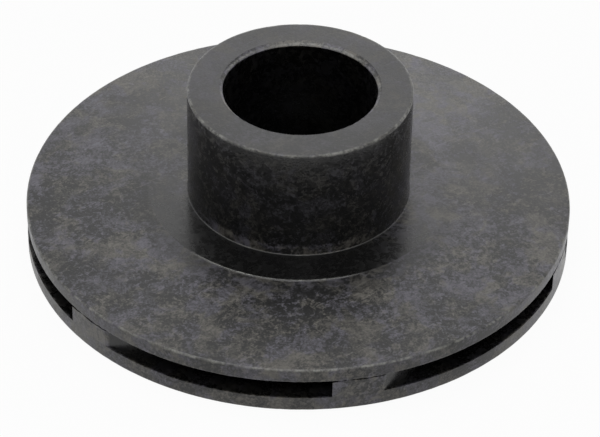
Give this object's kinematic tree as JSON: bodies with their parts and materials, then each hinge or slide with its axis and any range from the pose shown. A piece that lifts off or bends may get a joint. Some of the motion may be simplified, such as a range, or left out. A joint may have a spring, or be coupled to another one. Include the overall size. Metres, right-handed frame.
{
  "type": "pump impeller",
  "caption": "Closed centrifugal pump impeller: vaned disc with a tall eye collar and a threaded hub, moulded in dark plastic.",
  "frame": {"origin": "on the axis, at the rear disc's flat back face", "axes": "+Z along the axis, out of the eye; +X and +Y across the disc, with one vane's tip at 82.5 degrees before +X"},
  "size_m": [0.13, 0.13, 0.0426],
  "materials": {
    "front_plastic": "moulded glass-filled, satin, clouded",
    "rear_plastic": "moulded glass-filled, satin, clouded",
    "insert_brass": "turned and tapped"
  },
  "bodies": {
    "root": {"front_shroud": "front_plastic", "rear_shroud": "rear_plastic", "threaded_insert": "insert_brass"}
  },
  "joints": []
}
